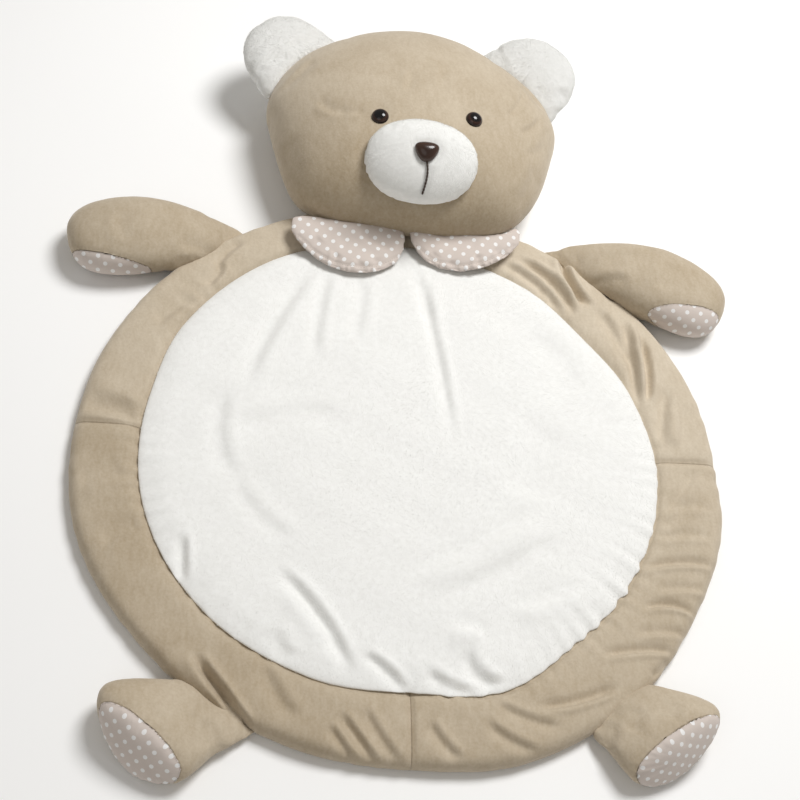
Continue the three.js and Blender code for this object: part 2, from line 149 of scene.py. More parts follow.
def undulation(x, y):
    """The slow rise and fall of loose filling, about 1 either way."""
    swell = np.sin(31 * x + 1.3) * np.sin(27 * y + 0.4) + 0.6 * np.sin(58 * x - 33 * y + 2.0)
    return swell + 0.4 * np.sin(83 * y + 47 * x)


def linked(name, data):
    piece = bpy.data.objects.new(name, data)
    bpy.context.collection.objects.link(piece)
    return piece


def cloth_object(name, rings, start, end):
    """A closed skin over rings of points, finished with one point at each end."""
    count = len(rings[0])
    points = np.vstack([[start], np.vstack(rings), [end]])
    last = len(points) - 1
    faces = []
    for k in range(count):
        after = (k + 1) % count
        faces.append((0, 1 + k, 1 + after))
        for ring in range(len(rings) - 1):
            near = 1 + ring * count
            far = near + count
            faces.append((near + k, far + k, far + after, near + after))
        base = 1 + (len(rings) - 1) * count
        faces.append((last, base + after, base + k))
    mesh = bpy.data.meshes.new(name)
    mesh.from_pydata(points.tolist(), [], faces)
    outward = bmesh.new()
    outward.from_mesh(mesh)
    bmesh.ops.recalc_face_normals(outward, faces=outward.faces)
    outward.to_mesh(mesh)
    outward.free()
    mesh.shade_smooth()
    return linked(name, mesh)


def dress(piece, node, material):
    """Gives a padded piece its cloth, in the place of its solid."""
    piece.data.materials.append(material)
    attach(piece, "root")
    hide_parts(node)


def feed(tree, inputs, fed):
    """Gives each named input its value, or a link from another node's output."""
    for socket, value in fed.items():
        if isinstance(value, bpy.types.NodeSocket):
            tree.links.new(value, inputs[socket])
        else:
            inputs[socket].default_value = value


def add_node(tree, kind, fed=None, **settings):
    made = tree.nodes.new(kind)
    for name, value in settings.items():
        setattr(made, name, value)
    feed(tree, made.inputs, fed or {})
    return made


def shader(name):
    """A material, its node tree and the inputs of its surface."""
    material = bpy.data.materials.new(name)
    material.use_nodes = True
    tree = material.node_tree
    return material, tree, tree.nodes["Principled BSDF"].inputs


def noise(tree, scale, detail, distortion=0.0, turn=0.0, stretch=None):
    """Noise that may be turned and drawn out along one direction, for the lie of a nap."""
    place = add_node(tree, "ShaderNodeTexCoord").outputs["Object"]
    if stretch:
        lay = {"Vector": place, "Rotation": (0, 0, turn), "Scale": stretch}
        place = add_node(tree, "ShaderNodeMapping", lay).outputs["Vector"]
    fed = {"Vector": place, "Scale": scale, "Detail": detail, "Distortion": distortion}
    return add_node(tree, "ShaderNodeTexNoise", fed).outputs["Fac"]


def colour_along(tree, factor, *stops):
    """A colour that follows a factor through stops of (position, colour)."""
    ramp = add_node(tree, "ShaderNodeValToRGB", {"Fac": factor})
    elements = ramp.color_ramp.elements
    for position, colour in stops[1:-1]:
        elements.new(position)
    for element, (position, colour) in zip(elements, stops):
        element.position = position
        element.color = (*colour, 1)
    return ramp.outputs["Color"]


def bumped(tree, *layers):
    """A surface normal under layers of (height, strength, distance)."""
    below = {}
    for height, strength, distance in layers:
        fed = {"Height": height, "Strength": strength, "Distance": distance, **below}
        below = {"Normal": add_node(tree, "ShaderNodeBump", fed).outputs["Normal"]}
    return below["Normal"]


PLUSH_DARK = (0.82, 0.818, 0.795)
PLUSH_LIGHT = (0.875, 0.875, 0.855)


def white_plush(name, painted_shade_scale):
    """Plush whose colour is scaled down to paint shade into it, 1 for none."""
    material, tree, surface = shader(name)
    clumps = noise(tree, scale=160, detail=4, distortion=0.6)
    fibres = noise(tree, scale=900, detail=3)
    dark = tuple(part * painted_shade_scale for part in PLUSH_DARK)
    light = tuple(part * painted_shade_scale for part in PLUSH_LIGHT)
    feed(tree, surface, {
        "Base Color": colour_along(tree, clumps, (0.3, dark), (0.7, light)),
        "Normal": bumped(tree, (clumps, 0.16, 1.0 * MM), (fibres, 0.2, 0.3 * MM)),
        "Roughness": 0.95, "Sheen Weight": 0.15, "Sheen Roughness": 0.5,
    })
    return material


WHITE_PLUSH = white_plush("white plush", painted_shade_scale=1.0)
POINTS_ROUND = 420
FLAT_RINGS = 84
SHOULDER_RINGS = 24
turn = np.linspace(0, 2 * math.pi, POINTS_ROUND, endpoint=False)
seam_radius = mat_radius(turn, SEAM) - SEAM_GAP
slack = slack_below(turn)
gathered = gathers(turn, *CENTRE_GATHERS)


def centre_ring(radius, inward, lift):
    """A ring of the plush so far inward of its seam; lift goes from 0 at the seam to 1 on top."""
    x = np.cos(turn) * radius
    y = np.sin(turn) * radius
    pucker_depth = (1.4 + 1.6 * slack) * MM
    puckers = gathered * fading(inward, 15 * MM) * pucker_depth * lift
    height = SEAM_HEIGHT + (CENTRE_CROWN - SEAM_HEIGHT) * lift + puckers
    height += (fold_relief(x, y, CENTRE_FOLDS) + 0.7 * MM * undulation(x, y)) * np.clip(1.2 * lift, 0, 1)
    return np.column_stack((x, y, height))


centre_rings = []
for reach in np.linspace(0.02, 1, FLAT_RINGS):
    radius = (seam_radius - CENTRE_SHOULDER) * reach
    centre_rings.append(centre_ring(radius, seam_radius - radius, 1.0))
for phi in np.radians(np.linspace(86, 0, SHOULDER_RINGS)):
    lift = math.sin(phi)
    inward = CENTRE_SHOULDER * (1 - math.cos(phi))
    bulge = PLUSH_OVERHANG * math.sin(math.pi * min(1, lift / 0.8))
    bumps = 1 + 0.4 * gathered * np.clip(np.cos(turn - BUMPY_SIDE), 0, 1) ** 2
    centre_rings.append(centre_ring(seam_radius - inward + bulge * slack * bumps, inward, lift))
hem = centre_rings[-1].copy()
hem[:, 2] = FLOOR_LIFT
centre_rings.append(hem)
centre_top = CENTRE_CROWN + fold_relief(np.zeros(1), np.zeros(1), CENTRE_FOLDS)[0]
mat_centre = cloth_object("mat_centre_plush", centre_rings, (0, 0, centre_top), (0, 0, FLOOR_LIFT))
dress(mat_centre, "mat_centre", WHITE_PLUSH)

# Border panels
# Three lengths of beige velour seamed end to end into a padded roll round the centre. The cloth is
# gathered along both of its long seams, and it folds beside the collar, the feet and the panel seams.
BORDER_CROWN = 29 * MM
EDGE_HEIGHT = 10.4 * MM
BORDER_MIDDLE = 360 * MM
INNER_GATHERS = (88, 1.7)
OUTER_GATHERS = (68, 0.2)
# Section of the flat roll, out from the seam and back under: share of the width, share of the crown
BORDER_SECTION = (
    (0.0, 0.724), (0.08, 0.90), (0.22, 0.98), (0.46, 1.0), (0.72, 0.985), (0.89, 0.90),
    (0.975, 0.66), (1.0, 0.38), (0.985, 0.14), (0.94, 0.02),
)
# From one panel seam to the next, in degrees
PANELS = (
    ("border_upper", 2.0, 179.5),
    ("border_lower_left", 179.5, 270.8),
    ("border_lower_right", 270.8, 362.0),
)
BORDER_FOLDS = (
    (220, 334, 252, 240, 12, 5, 11.0),
    (206, 330, 232, 246, 6, 6, -7.0),
    (150, 316, 230, 222, -14, 5, 9.0),
    (128, 306, 214, 222, -12, 5, 7.0),
    (238, 316, 290, 254, -3, 4.5, 6.0),
    (256, 244, 297, 150, -5, 6, 5.5),
    (295, 232, 304, 84, -1, 5, 9.5),
    (313, 204, 311, 90, -8, 5, 7.5),
    (306, 216, 307, 94, -4, 5, -6.0),
    (344, 126, 327, 34, 2, 6, 5.0),
    (352, 96, 344, 30, 0, 6, -3.0),
    (369, 4, 324, -60, -1, 5, 3.0),
    (354, -43, 313, -88, -4, 5, 2.5),
    (-214, 300, -250, 250, 5, 5, 5.0),
    (-240, 262, -262, 218, -4, 5, 4.5),
    (-268, 200, -318, 150, 5, 7, 3.5),
    (-318, 10, -396, 24, 4, 7, 4.5),
    (-320, 34, -388, 52, 3, 9, -3.0),
    (-330, -60, -384, -84, 6, 10, 2.5),
    (-300, -130, -350, -160, 6, 9, 3.0),
    (-236, -282, -165, -370, -1, 4.5, 11.0),
    (-250, -280, -190, -362, -4, 6, -5.0),
    (-160, -284, -118, -352, 6, 7, 3.5),
    (-76, -338, -30, -396, 0, 4, 5.5),
    (-88, -352, -52, -398, 0, 4, 4.5),
    (-50, -330, -6, -394, 3, 5, 4.0),
    (22, -342, 60, -386, 4, 5, 4.5),
    (84, -340, 150, -372, 6, 5, 4.5),
    (96, -318, 176, -342, 6, 5, 4.0),
    (244, -288, 142, -321, -6, 4, 6.5),
    (318, -244, 220, -256, 4, 3.8, 5.5),
    (310, -254, 280, -278, 0, 3.5, 5.0),
    (350, -198, 276, -194, 10, 3.8, 5.5),
    (338, -222, 264, -227, 4, 4, 3.5),
    (378, -130, 284, -140, 5, 4, 5.0),
    (370, -164, 296, -169, 4, 4.5, 3.0),
    (380, -92, 304, -99, 4, 5, 2.8),
    (384, -50, 312, -58, 4, 6, 2.2),
)


def smooth_path(rows, per_span):
    """A curve through the rows, with so many steps from each to the next."""
    rows = np.array(rows)
    grid = np.linspace(0, len(rows) - 1, per_span * (len(rows) - 1) + 1)
    low = np.clip(grid.astype(int), 0, len(rows) - 2)
    t = (grid - low)[:, None]
    p0 = rows[np.maximum(low - 1, 0)]
    p1 = rows[low]
    p2 = rows[low + 1]
    p3 = rows[np.minimum(low + 2, len(rows) - 1)]
    return p1 + 0.5 * t * (p2 - p0 + t * (2 * p0 - 5 * p1 + 4 * p2 - p3 + t * (3 * (p1 - p2) + p3 - p0)))


def mixed(tree, factor, first, second):
    return add_node(tree, "ShaderNodeMix", {"Factor": factor, "A": first, "B": second}).outputs["Result"]


def contrast(tree, value, low, high):
    """Spreads a value that keeps near its middle over the whole range."""
    fed = {"Value": value, "From Min": low, "From Max": high}
    return add_node(tree, "ShaderNodeMapRange", fed).outputs["Result"]


VELOUR_DARK = (0.352, 0.272, 0.172)
VELOUR_PALE = (0.625, 0.545, 0.43)


def beige_velour():
    material, tree, surface = shader("beige velour")
    patches = noise(tree, scale=11, detail=4, distortion=0.8)
    strokes = noise(tree, scale=170, detail=4, turn=0.7, stretch=(1.0, 0.4, 0.8))
    pile = noise(tree, scale=330, detail=3)
    lie_and_shade = add_node(tree, "ShaderNodeAttribute", attribute_name="nap lie and painted shade").outputs["Fac"]
    grain = contrast(tree, mixed(tree, 0.5, strokes, pile), low=0.34, high=0.66)
    clouds = contrast(tree, patches, low=0.25, high=0.75)
    # The stored tone mixes painted shade and painted light into the velour's colour, along with the lie of
    # the nap.
    nap = mixed(tree, 0.36, lie_and_shade, mixed(tree, 0.45, clouds, grain))
    feed(tree, surface, {
        "Base Color": colour_along(tree, nap, (0.2, VELOUR_DARK), (0.8, VELOUR_PALE)),
        "Normal": bumped(tree, (strokes, 0.3, 1.2 * MM), (pile, 0.4, 0.8 * MM)),
        "Roughness": 0.9, "Sheen Weight": 0.3, "Sheen Roughness": 0.45,
        "Sheen Tint": (1.0, 0.96, 0.90, 1),
    })
    return material


BEIGE_VELOUR = beige_velour()


def lay_nap_and_painted_shade(piece, lie_and_shade):
    """Stores a tone for the velour at each point, from 0 (dark) to 1 (pale): partly the lie of the nap,
    partly painted shade and light.
    """
    values = np.broadcast_to(lie_and_shade, len(piece.data.vertices)).astype(np.float32)
    stored = piece.data.attributes.new("nap lie and painted shade", "FLOAT", "POINT")
    stored.data.foreach_set("value", np.ascontiguousarray(values))


def border_ring(angle, start, end):
    """The section at one angle of a panel that is seamed to its neighbours at start and end."""
    inner = mat_radius(np.array(angle), SEAM) + SEAM_GAP
    width = mat_radius(np.array(angle), EDGE) - inner
    share, rise = smooth_path(BORDER_SECTION, per_span=8).T
    pushed = 0.8 * PLUSH_OVERHANG * float(slack_below(angle))
    across = share * width + pushed * np.clip(1 - share / 0.3, 0, 1) * np.clip(share / 0.02, 0, 1)
    z = rise * BORDER_CROWN
    from_panel_seam = min(angle - start, end - angle) * BORDER_MIDDLE
    drawn_in = 3.5 * MM * bell(from_panel_seam, 4 * MM) + 2 * MM * fading(from_panel_seam, 25 * MM)
    on_top = np.clip((z - EDGE_HEIGHT) / (BORDER_CROWN - EDGE_HEIGHT), 0, 1)
    x = math.cos(angle) * (inner + across)
    y = math.sin(angle) * (inner + across)
    folds = fold_relief(x, y, BORDER_FOLDS)
    edge_gathers = gathers(angle, *OUTER_GATHERS)
    inner_puckers = 1.6 * MM * gathers(angle, *INNER_GATHERS) * fading(across, 14 * MM)
    outer_puckers = 1.0 * MM * edge_gathers * fading(width - across, 16 * MM)
    relief = folds + 0.8 * MM * undulation(x, y)
    z = z + on_top * (relief + inner_puckers + outer_puckers - drawn_in)
    edge_notch = 0.22 * np.clip(-folds, 0, 6 * MM) * np.clip(share, 0, 1) ** 6
    scallop = 0.4 * MM * edge_gathers * np.clip(share, 0, 1) ** 4
    radius = inner + across + scallop - edge_notch
    top = np.column_stack((math.cos(angle) * radius, math.sin(angle) * radius, np.maximum(z, FLOOR_LIFT)))
    base_radius = np.array((inner + 0.5 * width, inner, inner))
    base_height = np.array((FLOOR_LIFT, FLOOR_LIFT, 0.5 * SEAM_HEIGHT))
    base = np.column_stack((math.cos(angle) * base_radius, math.sin(angle) * base_radius, base_height))
    return np.vstack((top, base))


# Step round the mat in degrees, and half the slit between two panels in radians
PANEL_STEP = 0.24
PANEL_SLIT = 0.0004
# Each panel's velour tone, partly its nap and partly painted shade, with painted light making the border
# paler toward the lamp's side.
PANEL_NAP_AND_SHADE = {"border_upper": 0.67, "border_lower_left": 0.5, "border_lower_right": 0.49}
PAINTED_LIGHT_SIDE = math.radians(35)
PAINTED_LIGHT_SWING = 0.13
for node, from_degrees, to_degrees in PANELS:
    start = math.radians(from_degrees) + PANEL_SLIT
    end = math.radians(to_degrees) - PANEL_SLIT
    steps = round((to_degrees - from_degrees) / PANEL_STEP)
    panel_rings = [border_ring(start + (end - start) * k / steps, start, end) for k in range(steps + 1)]
    panel = cloth_object(node + "_velour", panel_rings, panel_rings[0].mean(0), panel_rings[-1].mean(0))
    panel_points = np.array([vertex.co for vertex in panel.data.vertices])
    panel_angle = np.arctan2(panel_points[:, 1], panel_points[:, 0])
    lay_nap_and_painted_shade(panel, PANEL_NAP_AND_SHADE[node] + PAINTED_LIGHT_SWING * np.cos(panel_angle - PAINTED_LIGHT_SIDE))
    dress(panel, node, BEIGE_VELOUR)

# Stuffed head
# A velour cover over loose fibre, sewn across the top edge of the mat, flat where it lies on the floor.
# The filling pushes the cloth out between the seams that hold the muzzle and the ears.
HELD_REACH = 3 * MM
SEAM_DRAW = 9 * MM
FLOOR_TOUCH = 2 * MM
WELD = 0.02 * MM
FILLING_STEPS = 20
FILLING_PRESSURE = 4
SIDES = ("left", "right")


def points_of(mesh):
    values = np.empty(len(mesh.vertices) * 3)
    mesh.vertices.foreach_get("co", values)
    return values.reshape(-1, 3)


def normals_of(mesh):
    values = np.empty(len(mesh.vertices) * 3)
    mesh.vertex_normals.foreach_get("vector", values)
    return values.reshape(-1, 3)


def move_points(mesh, points):
    mesh.vertices.foreach_set("co", points.ravel())
    mesh.update()


def applied(piece):
    """Makes the piece's modifiers part of its own mesh."""
    old = piece.data
    graph = bpy.context.evaluated_depsgraph_get()
    piece.data = bpy.data.meshes.new_from_object(piece.evaluated_get(graph))
    piece.modifiers.clear()
    bpy.data.meshes.remove(old)


def refined(piece):
    """Splits the piece's cells once into smooth smaller ones."""
    finer = piece.modifiers.new("finer", "SUBSURF")
    finer.levels = 1
    finer.render_levels = 1
    applied(piece)
    piece.data.shade_smooth()


def cut_piece(name, solids, voxel):
    """One stuffed body over its solids, each moved by a little, in cells even enough for cloth."""
    joined = bmesh.new()
    for node, shift in solids:
        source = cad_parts[node]
        part = source.data.copy()
        part.transform(Matrix.Translation(shift) @ source.matrix_world)
        joined.from_mesh(part)
        bpy.data.meshes.remove(part)
    bmesh.ops.remove_doubles(joined, verts=joined.verts, dist=WELD)
    mesh = bpy.data.meshes.new(name)
    joined.to_mesh(mesh)
    joined.free()
    piece = linked(name, mesh)
    remesh = piece.modifiers.new("even cells", "REMESH")
    remesh.mode = "VOXEL"
    remesh.voxel_size = voxel
    applied(piece)
    return piece


def eased(mesh, rounds, held=None):
    """Relaxes the points toward their neighbours, apart from those that are held."""
    points = points_of(mesh)
    ends = np.empty(len(mesh.edges) * 2, dtype=np.int32)
    mesh.edges.foreach_get("vertices", ends)
    a, b = ends.reshape(-1, 2).T
    count = len(points)
    share = np.bincount(np.concatenate((a, b)), minlength=count)[:, None]
    free = np.ones((count, 1)) if held is None else 1 - held[:, None].astype(float)
    for _ in range(rounds):
        total = np.empty_like(points)
        for axis in range(3):
            weights = np.concatenate((points[b, axis], points[a, axis]))
            total[:, axis] = np.bincount(np.concatenate((a, b)), weights=weights, minlength=count)
        points = points + 0.5 * free * (total / share - points)
    move_points(mesh, points)


def toward_sewn(mesh, nodes):
    """Way from each point to the nearest place on the pieces that this one is sewn to."""
    trees = []
    for node in nodes:
        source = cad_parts[node]
        corners = [source.matrix_world @ corner.co for corner in source.data.vertices]
        trees.append(BVHTree.FromPolygons(corners, [face.vertices[:] for face in source.data.polygons]))
    ways = np.empty((len(mesh.vertices), 3))
    for k, vertex in enumerate(mesh.vertices):
        places = [tree.find_nearest(vertex.co) for tree in trees]
        ways[k] = min(places, key=lambda place: place[3])[0] - vertex.co
    return ways


def sewn_reach(mesh, nodes):
    return np.linalg.norm(toward_sewn(mesh, nodes), axis=1)


def drawn_to_seam(mesh, nodes):
    """Draws the points beside a seam up to the neighbour, so that no slit shows along it."""
    for _ in range(2):
        ways = toward_sewn(mesh, nodes)
        reach = np.linalg.norm(ways, axis=1, keepdims=True)
        move_points(mesh, points_of(mesh) + ways * np.clip(1 - reach / SEAM_DRAW, 0, 1))


def filled(piece, held, slack, cap):
    """Blows the piece up as cloth with its seams held, and keeps each point within cap of its start."""
    group = piece.vertex_groups.new(name="held")
    group.add(np.flatnonzero(held).tolist(), 1.0, "REPLACE")
    cloth = piece.modifiers.new("filling", "CLOTH")
    cloth.settings.vertex_group_mass = "held"
    cloth.settings.use_pressure = True
    cloth.settings.uniform_pressure_force = FILLING_PRESSURE
    cloth.settings.shrink_min = -slack
    cloth.settings.effector_weights.gravity = 0
    cloth.collision_settings.use_collision = False
    cloth.point_cache.frame_end = FILLING_STEPS
    for step in range(1, FILLING_STEPS + 1):
        bpy.context.scene.frame_set(step)
    before = points_of(piece.data)
    graph = bpy.context.evaluated_depsgraph_get()
    after = points_of(piece.evaluated_get(graph).data)
    piece.modifiers.remove(cloth)
    piece.vertex_groups.clear()
    bpy.context.scene.frame_set(1)
    move = after - before
    length = np.linalg.norm(move, axis=1, keepdims=True)
    move_points(piece.data, before + move * np.minimum(1, cap / np.maximum(length, 1e-9)))


def stuffed(name, node, sewn_to, voxel, rounds, slack, cap, drawn=True, patch=()):
    """A filled cover over one solid, with the patch that is let into it if there is one."""
    piece = cut_piece(name, ((node, (0, 0, 0)), *patch), voxel)
    on_floor = points_of(piece.data)[:, 2] < FLOOR_TOUCH
    eased(piece.data, rounds, on_floor)
    if drawn:
        drawn_to_seam(piece.data, sewn_to)
        eased(piece.data, 2, on_floor)
    held = on_floor | (sewn_reach(piece.data, sewn_to) < HELD_REACH)
    filled(piece, held, slack, cap)
    eased(piece.data, 2, on_floor)
    refined(piece)
    return piece


def pressed(piece, relief):
    """Moves each point along its normal by relief, keeping the underside on the floor."""
    points = points_of(piece.data) + normals_of(piece.data) * relief[:, None]
    points[:, 2] = np.maximum(points[:, 2], FLOOR_LIFT)
    move_points(piece.data, points)


def plan_folds(piece, folds):
    """The relief of folds on the side of a piece that faces up."""
    points = points_of(piece.data)
    upward = np.clip(normals_of(piece.data)[:, 2] * 2, 0, 1)
    return fold_relief(points[:, 0], points[:, 1], folds) * upward


HEAD_FOLDS = (
    (118, 462, 152, 540, 6, 4, 2.2),
    (138, 446, 176, 500, 5, 4, 2.0),
    (150, 420, 186, 470, 5, 5, 1.6),
    (-92, 430, -136, 470, -4, 5, 1.8),
    (-70, 436, -112, 446, -3, 4, 1.4),
    (-20, 470, -12, 520, 3, 5, 1.5),
    (30, 480, 38, 540, -3, 6, 1.2),
    (-150, 360, -168, 430, -6, 8, 2.4),
    (140, 352, 168, 420, 6, 8, 2.4),
    (-186, 500, -140, 560, 5, 6, 1.8),
    (150, 570, 190, 520, 5, 6, 1.8),
)
head = stuffed(
    "head_velour", "head", ("muzzle", "ear_left", "ear_right", "eye_left", "eye_right"),
    voxel=6 * MM, rounds=10, slack=0.01, cap=5 * MM, drawn=False)
to_muzzle = sewn_reach(head.data, ("muzzle",))
dip = -1.2 * MM * bell(to_muzzle, 7 * MM)
pressed(head, dip + plan_folds(head, HEAD_FOLDS))
# Painted shade: the velour is painted darker from the middle of the face down to the chin, which faces
# away from the lamp
FACE_MIDDLE = 460 * MM
CHIN_DROP = 160 * MM
painted_chin_shade = np.clip((FACE_MIDDLE - points_of(head.data)[:, 1]) / CHIN_DROP, 0, 1)
lay_nap_and_painted_shade(head, 0.52 - 0.36 * painted_chin_shade)
dress(head, "head", BEIGE_VELOUR)

# Ears
# Two half-round pillows of the white plush, lightly filled. Each is caught in the seam of one of the
# head's upper corners and gathered there, so that its root swells beside the seam.
PILE_LENGTH = 1.8 * MM
PILE_WIDTH = 0.22 * MM
# Tufts per square metre
MAT_TUFTS = 140000.0
SMALL_PIECE_TUFTS = 700000.0


def new_tree(name, inputs):
    """A node tree that takes a piece, some values and a material, and what it is given."""
    tree = bpy.data.node_groups.new(name, "GeometryNodeTree")
    for label, kind in (("Geometry", "NodeSocketGeometry"), *inputs, ("Material", "NodeSocketMaterial")):
        tree.interface.new_socket(label, in_out="INPUT", socket_type=kind)
    tree.interface.new_socket("Geometry", in_out="OUTPUT", socket_type="NodeSocketGeometry")
    return tree, add_node(tree, "NodeGroupInput").outputs


def close_tree(tree, given, instances):
    """Ends a tree with its instances made real, in the material that is given."""
    real = add_node(tree, "GeometryNodeRealizeInstances", {"Geometry": instances}).outputs["Geometry"]
    coloured = add_node(tree, "GeometryNodeSetMaterial", {"Geometry": real, "Material": given["Material"]})
    add_node(tree, "NodeGroupOutput", {"Geometry": coloured.outputs["Geometry"]})


def vector_math(tree, operation, *values):
    return add_node(tree, "ShaderNodeVectorMath", dict(enumerate(values)), operation=operation).outputs


def pile_tree():
    """Short plush tufts that lean with the nap over the upward side of a piece."""
    tree, given = new_tree("plush pile", (
        ("Tufts per square metre", "NodeSocketFloat"), ("Tuft length", "NodeSocketFloat"),
        ("Tuft width", "NodeSocketFloat"), ("Nap", "NodeSocketVector"),
    ))
    facing = add_node(tree, "GeometryNodeInputNormal").outputs["Normal"]
    rise = add_node(tree, "ShaderNodeSeparateXYZ", {"Vector": facing}).outputs["Z"]
    upward = add_node(
        tree, "FunctionNodeCompare", {"A": rise, "B": 0.2}, data_type="FLOAT", operation="GREATER_THAN")
    scatter = add_node(tree, "GeometryNodeDistributePointsOnFaces", {
        "Mesh": given["Geometry"], "Selection": upward.outputs["Result"],
        "Density": given["Tufts per square metre"], "Seed": 11,
    })
    tuft = add_node(tree, "GeometryNodeMeshCone", {
        "Vertices": 3, "Radius Bottom": given["Tuft width"], "Depth": given["Tuft length"],
    }, fill_type="NONE")
    spread = add_node(tree, "FunctionNodeRandomValue", {
        "Min": (-0.3, -0.3, -0.2), "Max": (0.3, 0.3, 0.2), "Seed": 3,
    }, data_type="FLOAT_VECTOR")
    lean = vector_math(tree, "ADD", given["Nap"], spread.outputs["Value"])["Vector"]
    way = vector_math(tree, "ADD", scatter.outputs["Normal"], lean)["Vector"]
    align = add_node(tree, "FunctionNodeAlignRotationToVector", {"Vector": way}, axis="Z")
    size = add_node(tree, "FunctionNodeRandomValue", {2: 0.55, 3: 1.2, "Seed": 5}, data_type="FLOAT")
    plant = add_node(tree, "GeometryNodeInstanceOnPoints", {
        "Points": scatter.outputs["Points"], "Instance": tuft.outputs["Mesh"],
        "Rotation": align.outputs["Rotation"], "Scale": size.outputs[1],
    })
    close_tree(tree, given, plant.outputs["Instances"])
    return tree


def from_tree(name, base, tree, **values):
    """A plain mesh made by a node tree over a copy of the base piece."""
    piece = base.copy()
    piece.name = name
    piece.parent = None
    piece.data = base.data.copy()
    bpy.context.collection.objects.link(piece)
    made = piece.modifiers.new(name, "NODES")
    made.node_group = tree
    for socket in tree.interface.items_tree:
        label = socket.name.lower().replace(" ", "_")
        if socket.in_out == "INPUT" and label in values:
            made[socket.identifier] = values[label]
    applied(piece)
    return piece


PILE = pile_tree()


def brushed(piece, density, nap):
    """Plants the pile on a plush piece, leaning the way its nap runs."""
    pile = from_tree(
        piece.name + "_pile", piece, PILE, tufts_per_square_metre=density, tuft_length=PILE_LENGTH,
        tuft_width=PILE_WIDTH, nap=nap, material=piece.data.materials[0])
    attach(pile, "root")


brushed(mat_centre, MAT_TUFTS, nap=(0.25, -0.9, 0.0))
# Painted shade: the ears' plush is painted a tenth darker than the mat's.
SHADED_EAR_PLUSH = white_plush("ear plush", painted_shade_scale=0.9)
for side in SIDES:
    node = "ear_" + side
    ear = stuffed(
        node + "_plush", node, ("head",), voxel=4 * MM, rounds=12, slack=0.03, cap=4 * MM)
    to_head = sewn_reach(ear.data, ("head",))
    points = points_of(ear.data)
    middle = points.mean(0)
    around = np.arctan2(points[:, 1] - middle[1], points[:, 0] - middle[0])
    swell = 4.5 * MM * bell(to_head, 16 * MM)
    puckers = 1.3 * MM * gathers(around, waves=26, wander=0.9) * fading(to_head, 18 * MM)
    pressed(ear, swell + puckers)
    dress(ear, node, SHADED_EAR_PLUSH)
    brushed(ear, SMALL_PIECE_TUFTS, nap=(-0.7, -0.5, 0.1))

# Muzzle
# An oval of the white plush sewn down all round on the face over a handful of filling. The nose and the
# mouth thread are drawn through it and dent it.
MUZZLE_MIDDLE = (4 * MM, 374 * MM)
muzzle = stuffed(
    "muzzle_plush", "muzzle", ("head",), voxel=4 * MM, rounds=7, slack=0.01, cap=4 * MM)
to_head = sewn_reach(muzzle.data, ("head",))
points = points_of(muzzle.data)
around = np.arctan2(points[:, 1] - MUZZLE_MIDDLE[1], points[:, 0] - MUZZLE_MIDDLE[0])
to_nose = sewn_reach(muzzle.data, ("nose", "mouth_stitch"))
dent = -1.8 * MM * bell(to_nose, 6 * MM)
puckers = 0.7 * MM * gathers(around, waves=40, wander=0.3) * fading(to_head, 12 * MM)
pressed(muzzle, dent + puckers)
dress(muzzle, "muzzle", WHITE_PLUSH)
brushed(muzzle, SMALL_PIECE_TUFTS, nap=(0.0, -0.8, 0.1))

# Bead eyes and nose
# Moulded glossy plastic, held by washers behind the cloth: two domed beads with a brown rim round a black
# pupil, and a rounded triangular nose.
BEAD_BACK = 2.2 * MM
BEAD_RINGS = 12


def gloss(name, roughness):
    """Moulded plastic, and how far each point of it lies out from the bead's middle."""
    material, tree, surface = shader(name)
    feed(tree, surface, {
        "Roughness": roughness, "Coat Weight": 0.25, "Coat Roughness": 0.05, "Specular IOR Level": 0.3,
    })
    outward = add_node(tree, "ShaderNodeAttribute", attribute_name="out from middle")
    return material, tree, surface, outward.outputs["Fac"]


def eye_bead():
    material, tree, surface, outward = gloss("eye bead", roughness=0.12)
    shade = colour_along(
        tree, outward, (0.0, (0.006, 0.005, 0.005)), (0.6, (0.008, 0.006, 0.006)),
        (0.74, (0.042, 0.019, 0.012)), (0.88, (0.030, 0.014, 0.010)), (1.0, (0.010, 0.007, 0.007)))
    feed(tree, surface, {"Base Color": shade})
    return material


def nose_plastic():
    material, tree, surface, outward = gloss("nose plastic", roughness=0.22)
    shade = colour_along(tree, outward, (0.2, (0.030, 0.015, 0.011)), (1.0, (0.058, 0.030, 0.021)))
    grain = noise(tree, scale=700, detail=2)
    feed(tree, surface, {"Base Color": shade, "Normal": bumped(tree, (grain, 0.12, 0.2 * MM))})
    return material


def bead(name, node, outline, centre, facing, lean, dome, material):
    """A domed bead over its solid: outline gives its edge, and the back is flat."""
    turned = Matrix.Translation(centre) @ Matrix.Rotation(math.radians(facing), 4, "Z")
    turned = turned @ Matrix.Rotation(math.radians(lean), 4, "X")
    rings = []
    reaches = []
    for phi in np.radians(np.linspace(8, 90, BEAD_RINGS)):
        reach = math.sin(phi)
        rings.append([turned @ Vector((u * reach, v * reach, dome * math.cos(phi))) for u, v in outline])
        reaches += [reach] * len(outline)
    rings.append([turned @ Vector((u * 0.94, v * 0.94, -BEAD_BACK)) for u, v in outline])
    reaches += [1.0] * len(outline)
    rings = [np.array([tuple(point) for point in ring]) for ring in rings]
    top = tuple(turned @ Vector((0, 0, dome)))
    back = tuple(turned @ Vector((0, 0, -BEAD_BACK)))
    piece = cloth_object(name, rings, top, back)
    outward = piece.data.attributes.new("out from middle", "FLOAT", "POINT")
    outward.data.foreach_set("value", [0.0] + reaches + [1.0])
    piece.data.materials.append(material)
    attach(piece, "root")
    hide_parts(node)


